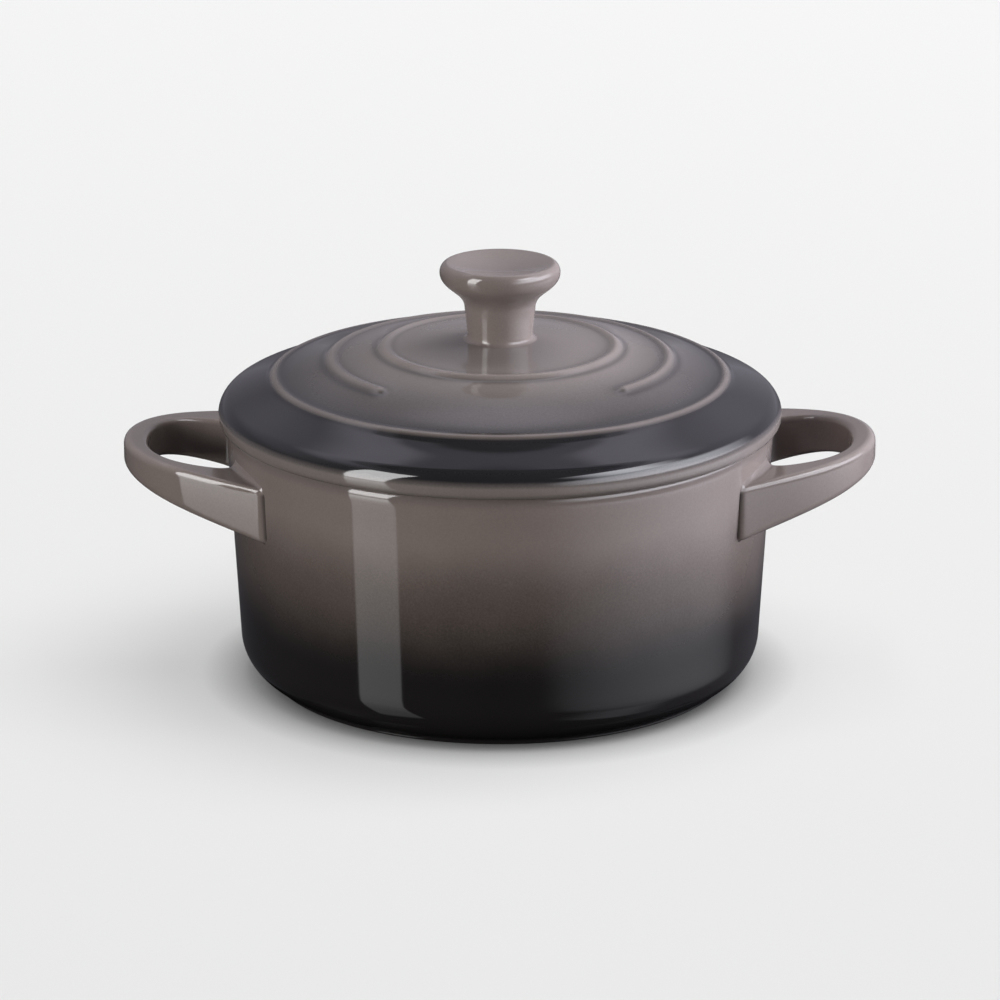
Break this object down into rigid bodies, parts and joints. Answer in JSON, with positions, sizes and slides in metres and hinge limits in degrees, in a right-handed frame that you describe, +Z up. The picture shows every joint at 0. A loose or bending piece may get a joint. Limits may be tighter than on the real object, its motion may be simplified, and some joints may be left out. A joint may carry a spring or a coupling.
{
  "type": "mini cocotte",
  "caption": "Single-portion round stoneware cocotte with loop handles and a domed, ringed lid with a knob, glazed in taupe that fades to near black at the foot.",
  "frame": {"origin": "on the table under the middle of the foot ring", "axes": "+Z up, X along the two handles, -Y towards the break in the lid's middle ring"},
  "size_m": [0.1434, 0.107, 0.0809],
  "materials": {
    "pot_glaze": "gloss glaze, taupe at the rim fading to near black at the foot",
    "handle_glaze": "gloss taupe glaze",
    "lid_glaze": "gloss glaze, taupe in the middle fading to charcoal near the edge",
    "knob_glaze": "gloss taupe glaze"
  },
  "bodies": {
    "pot": {"pot_body": "pot_glaze", "handle_left": "handle_glaze", "handle_right": "handle_glaze"},
    "lid": {"lid": "lid_glaze", "lid_knob": "knob_glaze"}
  },
  "joints": [
    {"name": "lid_lift", "type": "slide", "parent": "pot", "child": "lid", "axis": [0, 0, 1], "range_m": [0, 0.08]}
  ]
}
